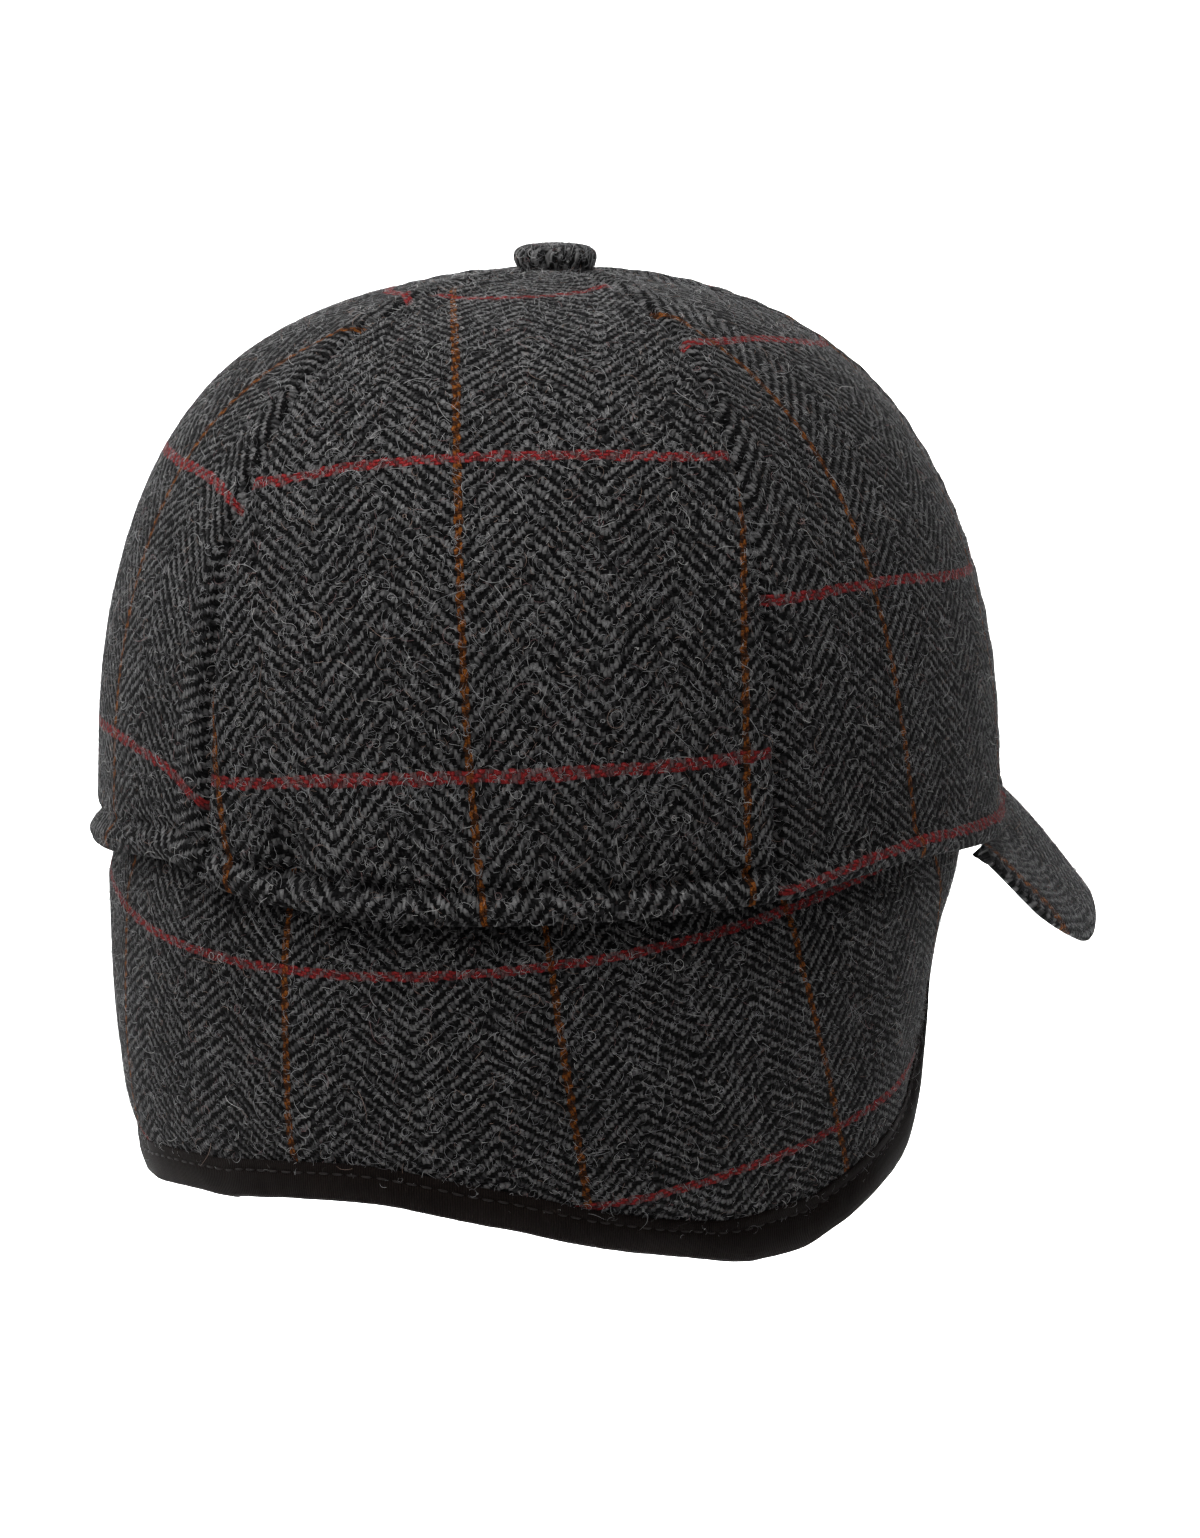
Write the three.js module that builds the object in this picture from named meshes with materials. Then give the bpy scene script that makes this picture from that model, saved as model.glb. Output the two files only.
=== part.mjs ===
// Earflap cap in wool tweed: a crown of five panels with a covered button, a
// short peak, and one wide flap that runs round the back from ear to ear with
// a tape binding on its free edge.
//
// Millimetres, +Z up. The front of the cap faces -Y and the wearer's right is
// -X. The origin is the middle of the head opening, in the plane of the rim.
// Bearings are degrees round the cap: 0 at the centre back, 90 at the wearer's
// right ear, 180 at the front, and negative on the wearer's left.

import * as THREE from 'three';

// ---------------------------------------------------------------- sizes ----
const HALF_LENGTH = 103.5;      // rim outline, front to back
const HALF_WIDTH = 87;          // rim outline, ear to ear
const OUTLINE_POWER = 2.08;     // a shade squarer than an ellipse
const CROWN_HEIGHT = 119;       // rim plane to the crown under the button
const TIP_RISE = 3.4;           // cloth gathered up at the apex
const TIP_SPREAD = 0.42;        // its width, as a share of the plan radius
const CLOTH = 2.2;              // crown wall
const GAP = 0.4;                // between neighbouring pieces
const TOP_RING = 6;             // panels stop this far along from the apex

const SEAM_BACK = 0;
const SEAM_SIDE = 76;
const SEAM_FRONT = 142;

const HEM_ROLL = 1.0;           // swell of the turned-up lower edge
const HEM_ROLL_AT = 2.4;        // height of the fullest part above the edge
const HEM_CREASE = 0.7;         // stitched-in groove above the roll
const HEM_CREASE_AT = 6.0;

const FLAP_CLOTH = 2.6;
const FLAP_TUCK = 8;            // how far the flap reaches up inside the rim
const FLAP_SAG = 5.5;           // the left of the back hangs this much lower
const FLAP_SAG_AT = -24;
const FLAP_SAG_WIDTH = 16;

const TAPE = 0.8;               // binding cloth
const TAPE_LEG = 7;             // binding width on each face

const PEAK_CORNER = 118;        // bearing where the peak starts
const PEAK_REACH = 56;          // length at the middle, along the slope
const PEAK_FAN = 0.25;          // spread of the sides
const PEAK_FALL_MIDDLE = 36;    // degrees below level
const PEAK_FALL_CORNER = 47;
const PEAK_BOARD = 3.2;
const PEAK_BULGE = 4.5;         // arch of the leaf above its straight slope
const PEAK_ENDS = 0.985;        // the corners are cut off a little
const PEAK_CLEAR = 1.0;         // below the rim

const BUTTON_RADIUS = 9;
const BUTTON_HEIGHT = 6;

// Power of the crown's curve: rise governs height, reach governs radius.
const CURVE = { back: { rise: 2.8, reach: 3.2 }, front: { rise: 2.4, reach: 2.55 } };

// Height of the crown's lower edge round the cap.
const RIM = [
  { bearing: -180, lift: 16 }, { bearing: -150, lift: 9 }, { bearing: -134, lift: 0.6 },
  { bearing: -118, lift: 2.1 }, { bearing: -96, lift: 4.4 }, { bearing: -72, lift: 2.0 },
  { bearing: -27, lift: 5.8 }, { bearing: -8, lift: 8.0 }, { bearing: 8, lift: 2.8 },
  { bearing: 40, lift: 0.1 }, { bearing: 75, lift: 1.2 }, { bearing: 96, lift: 4.4 },
  { bearing: 118, lift: 2.1 }, { bearing: 134, lift: 0.6 }, { bearing: 150, lift: 9 },
  { bearing: 180, lift: 16 },
];

// Soft dents in the crown: place, half-sizes and depth (a swell is negative).
const DENTS = [
  { bearing: 12, above: 8, wide: 5, tall: 6, depth: 1.8 },
  { bearing: 20, above: 13, wide: 6, tall: 6, depth: -0.7 },
  { bearing: 62, above: 30, wide: 11, tall: 26, depth: 0.6 },
  { bearing: -30, above: 12, wide: 12, tall: 8, depth: 0.7 },
];

// Free edge of the flap, the same on both sides. Each row joins a place on the
// rim (root) to a place on the edge, at a drop below the plane of the rim.
const FLAP_OUTLINE = [
  { root: 0, edge: 0, drop: 59 }, { root: 20, edge: 20.5, drop: 56.8 },
  { root: 40, edge: 40, drop: 61.2 }, { root: 60, edge: 59.5, drop: 68.6 },
  { root: 70, edge: 69.5, drop: 71.6 }, { root: 80, edge: 78, drop: 73.6 },
  { root: 88, edge: 84.5, drop: 73.2 }, { root: 96, edge: 90.3, drop: 70 },
  { root: 104, edge: 97, drop: 65.6 }, { root: 112, edge: 106, drop: 60 },
  { root: 120, edge: 114, drop: 50 }, { root: 128, edge: 120.5, drop: 38 },
  { root: 136, edge: 128, drop: 22 }, { root: 141, edge: 135, drop: 7 },
];
const FLAP_END = 141;

// How far the flap's outer face lies inside the rim outline at each depth.
const FLAP_INSET = [
  { depth: -17, back: 4.4, front: 5.0 }, { depth: -9, back: 4.3, front: 5.5 },
  { depth: 0, back: 3.6, front: 8.5 }, { depth: 8, back: 2.0, front: 11.0 },
  { depth: 20, back: 2.2, front: 16.0 }, { depth: 33, back: 3.0, front: 20.0 },
  { depth: 55, back: 6.6, front: 25.0 }, { depth: 66, back: 9.6, front: 27.0 },
  { depth: 80, back: 14.0, front: 30.0 }, { depth: 95, back: 19.0, front: 33.0 },
];
const FLAP_FRONT_FROM = 88;     // the flap starts to turn in towards the face
const FLAP_FRONT_TO = 142;

const TWEED = { color: 0x4a4a4d, roughness: 0.95, metalness: 0 };
const TAPE_CLOTH = { color: 0x261c19, roughness: 0.9, metalness: 0 };

// -------------------------------------------------------------- helpers ----
const rad = THREE.MathUtils.degToRad;
const lerp = THREE.MathUtils.lerp;
const ease = (from, to, x) => THREE.MathUtils.smoothstep(x, from, to);
const signedPow = (v, p) => Math.sign(v) * Math.abs(v) ** p;
const hill = (x, width) => Math.exp(-((x / width) ** 2));

// Smooth curve through the rows of a table, with no overshoot.
function follow(table, key, column, x) {
  const n = table.length;
  const xs = table.map((row) => row[key]);
  const ys = table.map((row) => row[column]);
  const at = Math.min(Math.max(x, xs[0]), xs[n - 1]);
  let k = 0;
  while (k < n - 2 && at > xs[k + 1]) k++;
  const chord = (i) => (ys[i + 1] - ys[i]) / (xs[i + 1] - xs[i]);
  const slope = (i) => {
    if (i === 0 || i === n - 1) return 0;
    const a = chord(i - 1), b = chord(i);
    return a * b <= 0 ? 0 : (2 * a * b) / (a + b);
  };
  const h = xs[k + 1] - xs[k];
  const t = (at - xs[k]) / h;
  return (1 + 2 * t) * (1 - t) ** 2 * ys[k] + t * (1 - t) ** 2 * h * slope(k)
    + t * t * (3 - 2 * t) * ys[k + 1] + t * t * (t - 1) * h * slope(k + 1);
}

const wrap = (bearing) => THREE.MathUtils.euclideanModulo(bearing + 180, 360) - 180;
const rimLift = (bearing) => follow(RIM, 'bearing', 'lift', wrap(bearing));

// A point on the rim outline in plan, moved inwards.
function outline(bearing, inset = 0) {
  const a = rad(bearing);
  const x = -HALF_WIDTH * signedPow(Math.sin(a), 2 / OUTLINE_POWER);
  const y = HALF_LENGTH * signedPow(Math.cos(a), 2 / OUTLINE_POWER);
  const n = new THREE.Vector2(
    signedPow(x / HALF_WIDTH, OUTLINE_POWER - 1) / HALF_WIDTH,
    signedPow(y / HALF_LENGTH, OUTLINE_POWER - 1) / HALF_LENGTH).normalize();
  return new THREE.Vector2(x - inset * n.x, y - inset * n.y);
}

// Angle in plan, in radians, that one degree of bearing covers.
function turn(bearing) {
  const a = outline(bearing - 0.5), b = outline(bearing + 0.5);
  return Math.abs(a.cross(b)) / (a.length() * b.length());
}

// Outward direction of a surface(bearing, up) by differences.
function outward(surface, bearing, up) {
  const across = surface(bearing + 0.2, up).sub(surface(bearing - 0.2, up));
  const along = surface(bearing, up + 0.2).sub(surface(bearing, up - 0.2));
  return across.cross(along).normalize();
}

// A closed wall: point(u, v, face) with face 0 outside and 1 inside. Seen from
// outside, u runs to the right and v upwards.
function wall(nu, nv, point) {
  const position = [], index = [];
  const row = nu + 1, side = row * (nv + 1);
  for (const face of [0, 1]) {
    for (let j = 0; j <= nv; j++) {
      for (let i = 0; i <= nu; i++) position.push(...point(i / nu, j / nv, face).toArray());
    }
  }
  const quad = (a, b, c, d) => index.push(a, b, c, a, c, d);
  for (let j = 0; j < nv; j++) {
    for (let i = 0; i < nu; i++) {
      const a = j * row + i, b = a + 1, c = b + row, d = a + row;
      quad(a, b, c, d);
      quad(side + d, side + c, side + b, side + a);
    }
  }
  for (let i = 0; i < nu; i++) {
    const low = i, high = nv * row + i;
    quad(low + 1, low, side + low, side + low + 1);
    quad(high, high + 1, side + high + 1, side + high);
  }
  for (let j = 0; j < nv; j++) {
    const left = j * row, right = left + nu;
    quad(left, left + row, side + left + row, side + left);
    quad(right + row, right, side + right, side + right + row);
  }
  const geometry = new THREE.BufferGeometry();
  geometry.setAttribute('position', new THREE.Float32BufferAttribute(position, 3));
  geometry.setIndex(index);
  geometry.computeVertexNormals();
  return geometry;
}

// ---------------------------------------------------------------- crown ----
const PROFILE_STEPS = 240;

// Half-section of the crown at a bearing, with distance along it from the rim.
function profile(bearing) {
  const back = 0.5 + 0.5 * Math.cos(rad(bearing));
  const rise = lerp(CURVE.front.rise, CURVE.back.rise, back);
  const reach = lerp(CURVE.front.reach, CURVE.back.reach, back);
  const radius = outline(bearing).length();
  const lift = rimLift(bearing);
  const rows = [];
  for (let k = 0; k <= PROFILE_STEPS; k++) {
    const a = (Math.PI / 2) * (k / PROFILE_STEPS);
    const share = Math.max(Math.cos(a), 0) ** (2 / reach);
    const height = Math.sin(a) ** (2 / rise);
    const z = lift * (1 - height) + CROWN_HEIGHT * height + TIP_RISE * hill(share, TIP_SPREAD);
    const last = rows[k - 1];
    const along = k === 0 ? 0 : last.along + Math.hypot((share - last.share) * radius, z - last.z);
    rows.push({ along, share, z });
  }
  return rows;
}
const crownLength = (bearing) => profile(bearing)[PROFILE_STEPS].along;

// Smooth outer form of the crown, at a distance up from the rim.
function crownForm(bearing, up) {
  const rows = profile(bearing);
  let k = 0;
  while (k < PROFILE_STEPS - 1 && up > rows[k + 1].along) k++;
  const t = (up - rows[k].along) / (rows[k + 1].along - rows[k].along);
  const share = lerp(rows[k].share, rows[k + 1].share, t);
  const rim = outline(bearing);
  return new THREE.Vector3(rim.x * share, rim.y * share, lerp(rows[k].z, rows[k + 1].z, t));
}

// Rolled hem, crease and dents, as movement outwards.
function crownSwell(bearing, up) {
  let swell = HEM_ROLL * hill(up - HEM_ROLL_AT, 2.2) - HEM_CREASE * hill(up - HEM_CREASE_AT, 1.8);
  for (const dent of DENTS) {
    const aside = (wrap(bearing - dent.bearing) * Math.PI / 180) * HALF_LENGTH;
    swell -= dent.depth * hill(aside, dent.wide) * hill(up - dent.above, dent.tall);
  }
  return swell;
}

function crownSkin(bearing, up, depth) {
  const n = outward(crownForm, bearing, up);
  return crownForm(bearing, up).addScaledVector(n, crownSwell(bearing, up) - depth);
}

// Rows of a panel: four through the hem, then evenly to the ring at the top.
const HEM_ROWS = [0, 2.4, 6, 10];
const PANEL_ROWS = 13;
function panelUp(bearing, j) {
  if (j < HEM_ROWS.length) return HEM_ROWS[j];
  const from = HEM_ROWS[HEM_ROWS.length - 1];
  const to = crownLength(bearing) - TOP_RING;
  return lerp(from, to, (j - HEM_ROWS.length + 1) / (PANEL_ROWS - HEM_ROWS.length + 1));
}

function panel(from, to, columns) {
  return wall(columns, PANEL_ROWS, (u, v, face) => {
    const seam = lerp(from, to, u);
    const j = Math.round(v * PANEL_ROWS);
    const p = crownForm(seam, panelUp(seam, j));
    const perDegree = Math.hypot(p.x, p.y) * turn(seam);
    const trim = GAP / 2 / perDegree;
    const bearing = lerp(from + trim, to - trim, u);
    return crownSkin(bearing, panelUp(bearing, j), face * CLOTH);
  });
}

// ----------------------------------------------------------------- flap ----
function flapForm(bearing, depth) {
  const turned = ease(FLAP_FRONT_FROM, FLAP_FRONT_TO, Math.abs(bearing));
  const below = depth + rimLift(bearing) * (1 - ease(5, 45, depth));
  const inset = lerp(follow(FLAP_INSET, 'depth', 'back', below),
    follow(FLAP_INSET, 'depth', 'front', below), turned);
  const p = outline(bearing, inset);
  return new THREE.Vector3(p.x, p.y, -depth);
}

// The flap's column at a root bearing: where it ends, and how low.
function flapColumn(root) {
  const size = Math.abs(root), side = Math.sign(root) || 1;
  return {
    root,
    edge: side * follow(FLAP_OUTLINE, 'root', 'edge', size),
    drop: follow(FLAP_OUTLINE, 'root', 'drop', size)
      + FLAP_SAG * hill(root - FLAP_SAG_AT, FLAP_SAG_WIDTH),
    top: -(rimLift(root) + FLAP_TUCK),
  };
}

// A point on a column: a share of the way up from the free edge, moved out.
function flapSkin(root, share, out) {
  const column = flapColumn(root);
  const bearing = lerp(column.edge, column.root, share);
  const depth = lerp(column.drop, column.top, share);
  const n = outward(flapForm, bearing, depth).negate();
  return flapForm(bearing, depth).addScaledVector(n, out);
}

// Roots of the columns, spaced so that the columns are even along the edge.
const EDGE_STEPS = 2 * FLAP_END;
const edgeRun = [0];
for (let k = 1; k <= EDGE_STEPS; k++) {
  edgeRun[k] = edgeRun[k - 1]
    + flapSkin(k - FLAP_END, 0, 0).distanceTo(flapSkin(k - 1 - FLAP_END, 0, 0));
}
function rootAt(u) {
  const run = u * edgeRun[EDGE_STEPS];
  let k = 0;
  while (k < EDGE_STEPS - 1 && run > edgeRun[k + 1]) k++;
  return k - FLAP_END + (run - edgeRun[k]) / (edgeRun[k + 1] - edgeRun[k]);
}

const flapLength = (root) => flapSkin(root, 0, 0).distanceTo(flapSkin(root, 1, 0));
const tapeShare = (root) => Math.min(TAPE_LEG / flapLength(root), 0.5);

// Rows of the flap: two under the binding, then evenly to the top.
function flap(columns, rows) {
  return wall(columns, rows, (u, v, face) => {
    const root = rootAt(u);
    const tape = tapeShare(root);
    const j = Math.round(v * rows);
    const share = j <= 2 ? (tape * j) / 2 : lerp(tape, 1, (j - 2) / (rows - 2));
    return flapSkin(root, share, -face * FLAP_CLOTH);
  });
}

// Tape folded round the free edge. Rows run from the inner leg, round the edge,
// to the outer leg: up is the share of the leg above the edge, out is 1 on the
// outer face of the flap and 0 on its inner face.
const TAPE_ROWS = [
  { up: 1, out: 0 }, { up: 0.5, out: 0 }, { up: 0, out: 0 },
  { up: -1, out: 0.5 },
  { up: 0, out: 1 }, { up: 0.5, out: 1 }, { up: 1, out: 1 },
];
function binding(columns) {
  return wall(columns, TAPE_ROWS.length - 1, (u, v, face) => {
    const root = rootAt(u);
    const tapeRow = TAPE_ROWS[Math.round(v * (TAPE_ROWS.length - 1))];
    const clear = GAP + (face === 0 ? TAPE : 0);
    const out = lerp(-FLAP_CLOTH - clear, clear, tapeRow.out);
    const tape = tapeShare(root);
    if (tapeRow.up > 0) return flapSkin(root, tapeRow.up * tape, out);
    const edge = flapSkin(root, 0, out);
    const along = flapSkin(root + 0.3, 0, out).sub(flapSkin(root - 0.3, 0, out));
    const across = flapSkin(root, 0, 1).sub(flapSkin(root, 0, 0));
    const away = along.cross(across).normalize();
    return edge.addScaledVector(away, tapeRow.up < 0 ? clear : clear * 0.8);
  });
}

// ----------------------------------------------------------------- peak ----
function peakForm(across, share) {
  const bearing = 180 + (180 - PEAK_CORNER) * across;
  const start = outline(bearing, CLOTH);
  const tail = 1 - 0.75 * ease(0.9, PEAK_ENDS, Math.abs(across));
  const reach = PEAK_REACH * (1 - Math.abs(across) ** 2.6) ** 0.55 * tail * share;
  const way = new THREE.Vector2(PEAK_FAN * across, -1).normalize();
  const fall = rad(lerp(PEAK_FALL_MIDDLE, PEAK_FALL_CORNER, across * across));
  return new THREE.Vector3(
    start.x + way.x * reach * Math.cos(fall),
    start.y + way.y * reach * Math.cos(fall),
    rimLift(bearing) - PEAK_CLEAR - reach * Math.sin(fall)
      + PEAK_BULGE * Math.sin(Math.PI * share ** 0.65) * (1 - across * across));
}

function peak(columns, rows) {
  return wall(columns, rows, (u, v, face) => {
    const share = 1 - v;
    const p = peakForm(lerp(-PEAK_ENDS, PEAK_ENDS, u), share);
    const board = PEAK_BOARD * (1 - 0.75 * share ** 8);
    const thick = board / Math.cos(rad(PEAK_FALL_MIDDLE));
    p.z -= face === 0 ? (PEAK_BOARD - board) / 2 : (PEAK_BOARD - board) / 2 + thick;
    return p;
  });
}

// --------------------------------------------------------------- button ----
function button() {
  const seat = crownForm(0, crownLength(0) - 0.5).z + GAP;
  const half = new THREE.Vector2(BUTTON_RADIUS, BUTTON_HEIGHT);
  const section = [
    { out: 0, up: 0 }, { out: 0.72, up: 0 }, { out: 0.94, up: 0.2 }, { out: 1, up: 0.48 },
    { out: 0.93, up: 0.76 }, { out: 0.7, up: 0.94 }, { out: 0.36, up: 1 }, { out: 0, up: 1 },
  ].map((p) => new THREE.Vector2(p.out * half.x, p.up * half.y));
  const geometry = new THREE.LatheGeometry(section, 24);
  geometry.rotateX(Math.PI / 2);
  geometry.translate(0, 0, seat);
  return geometry;
}

// ------------------------------------------------------------- assembly ----
const cap = new THREE.Group();
cap.name = 'earflap_cap';

function add(name, geometry, finish) {
  const mesh = new THREE.Mesh(geometry, new THREE.MeshStandardMaterial(finish));
  mesh.name = name;
  cap.add(mesh);
}

add('back_panel_right', panel(SEAM_BACK, SEAM_SIDE, 9), TWEED);
add('side_panel_right', panel(SEAM_SIDE, SEAM_FRONT, 8), TWEED);
add('front_panel', panel(SEAM_FRONT, 360 - SEAM_FRONT, 9), TWEED);
add('side_panel_left', panel(-SEAM_FRONT, -SEAM_SIDE, 8), TWEED);
add('back_panel_left', panel(-SEAM_SIDE, SEAM_BACK, 9), TWEED);
add('top_button', button(), TWEED);
add('peak', peak(18, 8), TWEED);
add('ear_flap', flap(46, 7), TWEED);
add('flap_binding', binding(46), TAPE_CLOTH);

export default cap;
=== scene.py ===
from math import pi, radians, sin, cos
import bpy
import numpy as np
from mathutils import Matrix, Vector


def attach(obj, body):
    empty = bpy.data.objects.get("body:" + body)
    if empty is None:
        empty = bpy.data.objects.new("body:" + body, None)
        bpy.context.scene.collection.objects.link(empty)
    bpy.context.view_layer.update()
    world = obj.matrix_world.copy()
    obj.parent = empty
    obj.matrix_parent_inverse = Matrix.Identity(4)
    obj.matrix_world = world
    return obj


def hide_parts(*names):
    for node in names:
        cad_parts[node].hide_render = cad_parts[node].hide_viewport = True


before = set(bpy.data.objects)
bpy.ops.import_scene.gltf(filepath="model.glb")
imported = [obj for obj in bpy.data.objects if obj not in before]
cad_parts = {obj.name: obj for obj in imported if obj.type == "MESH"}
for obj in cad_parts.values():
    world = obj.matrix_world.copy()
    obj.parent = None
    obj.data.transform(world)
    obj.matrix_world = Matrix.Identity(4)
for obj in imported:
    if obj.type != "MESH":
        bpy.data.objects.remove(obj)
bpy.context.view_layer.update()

# ------------------------------------------------------------------ sizes --
# Millimetres, in the frame of the part: +Z up, -Y forward, -X the wearer's
# right. Bearings run from 0 at the centre back to 90 at the right ear.
HALF_LENGTH, HALF_WIDTH, OUTLINE_POWER = 103.5, 87.0, 2.08
CROWN_HEIGHT, TIP_RISE, TIP_SPREAD = 119.0, 3.4, 0.42
CURVE_BACK, CURVE_FRONT = (2.8, 3.2), (2.4, 2.55)      # rise, reach
CLOTH, HEM_CLOTH, FLAP_CLOTH = 2.0, 2.6, 2.4
SEAM_GAP, SEAM_LAP, TOP_RING = 0.02, 0.35, 4.0
SEAM_SIDE, SEAM_FRONT = 76.0, 142.0

# bearing, lift of the crown's lower edge
RIM = [(-180, 16), (-150, 9), (-134, .6), (-118, 2.1), (-96, 4.4), (-72, 2.0), (-27, 5.8), (-8, 8.0),
       (8, 2.8), (40, .1), (75, 1.2), (96, 4.4), (118, 2.1), (134, .6), (150, 9), (180, 16)]
# bearing, strength of the crease above the hem
CREASE = [(-180, .4), (-142, .4), (-100, .3), (-76, .5), (-20, .5), (4, .6), (12, 1.7), (20, 1.5), (36, 1.0),
          (43, .5), (50, 1.3), (70, 1.2), (77, .4), (90, .15), (142, .2), (180, .4)]
# bearing, height, half width, half height, depth of soft dents (a swell is negative)
DENTS = [(13.2, 11, 2.8, 8, 3.5), (20, 13, 6, 6, -.9), (8.2, 12, 2.4, 6, -.8), (62, 30, 11, 26, .6), (-30, 12, 12, 8, .7)]
# depth, inset of the flap at the back, inset at the front
FLAP_INSET = [(-17, 4.4, 5.0), (-9, 4.3, 5.5), (0, 3.6, 8.5), (8, 2.0, 11.0), (20, 2.2, 16.0), (33, 3.0, 20.0),
              (55, 6.6, 25.0), (66, 9.6, 27.0), (80, 14.0, 30.0), (95, 19.0, 33.0)]
# root bearing, edge bearing, drop of the free edge
FLAP_OUTLINE = [(0, 0, 59), (20, 20.5, 56.8), (40, 40, 61.2), (60, 59.5, 68.6), (70, 69.5, 71.6), (80, 78, 73.6),
                (88, 84.5, 73.2), (96, 90.3, 70.0), (104, 97, 65.6), (112, 106, 60), (120, 114, 50),
                (128, 120.5, 38), (136, 128, 22), (141, 135, 7)]
FLAP_END, FLAP_TUCK, FLAP_SAG, FLAP_SAG_AT, FLAP_SAG_WIDTH = 141.0, 8.0, 5.5, -24.0, 16.0
TAPE_LEG = 6.8
PEAK_CORNER, PEAK_REACH, PEAK_FAN = 118.0, 56.0, .25
PEAK_FALL_MIDDLE, PEAK_FALL_CORNER, PEAK_BOARD, PEAK_BULGE = 36.0, 47.0, 3.2, 4.5
BUTTON_RADIUS, BUTTON_HEIGHT = 9.0, 6.0

# Cloth: yarn pitch, ends in a herringbone band, and the overcheck's repeat in yarns.
PITCH, BAND = .73, 19
RED_EVERY, RUST_EVERY = 82, 76
RED_REPEAT, RUST_REPEAT = RED_EVERY * PITCH, RUST_EVERY * PITCH

rng = np.random.default_rng(20)


# ---------------------------------------------------------------- helpers --
def smooth(a, b, x):
    t = np.clip((x - a) / (b - a), 0, 1)
    return t * t * (3 - 2 * t)


def hill(x, w):
    return np.exp(-(x / w) ** 2)


def follow(table, x, column=1):
    """Smooth curve through a table's rows, with no overshoot."""
    xs = np.array([r[0] for r in table], float)
    ys = np.array([r[column] for r in table], float)
    x = np.clip(np.asarray(x, float), xs[0], xs[-1])
    h = np.diff(xs)
    d = np.diff(ys) / h
    m = np.zeros_like(ys)
    a, b = d[:-1], d[1:]
    ok = a * b > 0
    m[1:-1][ok] = 2 * a[ok] * b[ok] / (a[ok] + b[ok])
    k = np.clip(np.searchsorted(xs, x) - 1, 0, len(xs) - 2)
    t = (x - xs[k]) / h[k]
    return ((1 + 2 * t) * (1 - t) ** 2 * ys[k] + t * (1 - t) ** 2 * h[k] * m[k]
            + t * t * (3 - 2 * t) * ys[k + 1] + t * t * (t - 1) * h[k] * m[k + 1])


def wrap(b):
    return np.mod(np.asarray(b, float) + 180, 360) - 180


def spow(v, e):
    return np.sign(v) * np.abs(v) ** e


def unit(v):
    return v / (np.linalg.norm(v, axis=-1, keepdims=True) + 1e-12)


def lattice(ix, iy, iz, seed):
    n = (ix * 73856093) ^ (iy * 19349663) ^ (iz * 83492791) ^ (seed * 2654435761)
    n = (n ^ (n >> 13)) * 1274126177
    n = n ^ (n >> 16)
    return (n & 0xFFFF) / 32767.5 - 1.0


def noise(p, size, seed=1):
    """Smooth noise from -1 to 1 with features of the given size in mm."""
    q = np.asarray(p, float) / size
    i = np.floor(q).astype(np.int64)
    f = q - i
    f = f * f * (3 - 2 * f)
    out = 0
    for dx in (0, 1):
        for dy in (0, 1):
            for dz in (0, 1):
                w = ((f[..., 0] if dx else 1 - f[..., 0]) * (f[..., 1] if dy else 1 - f[..., 1])
                     * (f[..., 2] if dz else 1 - f[..., 2]))
                out = out + w * lattice(i[..., 0] + dx, i[..., 1] + dy, i[..., 2] + dz, seed)
    return out


def grid_normals(p):
    return unit(np.cross(np.gradient(p, axis=1), np.gradient(p, axis=0)))


# ------------------------------------------------------------------ forms --
def rim_lift(b):
    return follow(RIM, wrap(b))


def outline(b, inset=0.0):
    r = np.radians(np.asarray(b, float))
    x = -HALF_WIDTH * spow(np.sin(r), 2 / OUTLINE_POWER)
    y = HALF_LENGTH * spow(np.cos(r), 2 / OUTLINE_POWER)
    nx = spow(x / HALF_WIDTH, OUTLINE_POWER - 1) / HALF_WIDTH
    ny = spow(y / HALF_LENGTH, OUTLINE_POWER - 1) / HALF_LENGTH
    n = np.hypot(nx, ny)
    return x - inset * nx / n, y - inset * ny / n


def profile(b):
    back = .5 + .5 * np.cos(np.radians(b))
    rise = CURVE_FRONT[0] + (CURVE_BACK[0] - CURVE_FRONT[0]) * back
    reach = CURVE_FRONT[1] + (CURVE_BACK[1] - CURVE_FRONT[1]) * back
    x, y = outline(b)
    a = np.linspace(0, pi / 2, 1441)
    share = np.maximum(np.cos(a), 0) ** (2 / reach)
    height = np.sin(a) ** (2 / rise)
    z = rim_lift(b) * (1 - height) + CROWN_HEIGHT * height + TIP_RISE * hill(share, TIP_SPREAD)
    along = np.concatenate([[0], np.cumsum(np.hypot(np.diff(share) * np.hypot(x, y), np.diff(z)))])
    return along, share, z


def crown_form(b, up):
    """Smooth outer form: b (n,), up (m, n) -> (m, n, 3)."""
    out = np.zeros(up.shape + (3,))
    for i, bearing in enumerate(b):
        along, share, z = profile(bearing)
        x, y = outline(bearing)
        s = np.interp(up[:, i], along, share)
        zz = np.where(up[:, i] < 0, z[0] + up[:, i], np.interp(up[:, i], along, z))
        out[:, i] = np.stack([x * s, y * s, zz], -1)
    return out


def flap_form(b, depth):
    turned = smooth(88, 142, np.abs(b))
    below = depth + rim_lift(b) * (1 - smooth(5, 45, depth))
    inset = follow(FLAP_INSET, below, 1) * (1 - turned) + follow(FLAP_INSET, below, 2) * turned
    x, y = outline(b, inset)
    return np.stack([x, y, -depth], -1)


def flap_point(root, share):
    """root (n,), share (m, n) up from the free edge -> (m, n, 3)."""
    size, side = np.abs(root), np.where(root < 0, -1.0, 1.0)
    edge = side * follow(FLAP_OUTLINE, size, 1)
    drop = follow(FLAP_OUTLINE, size, 2) + FLAP_SAG * hill(root - FLAP_SAG_AT, FLAP_SAG_WIDTH)
    top = -(rim_lift(root) + FLAP_TUCK)
    b = edge + (root - edge) * share
    d = drop + (top - drop) * share
    return flap_form(b, d), b, d


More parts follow.
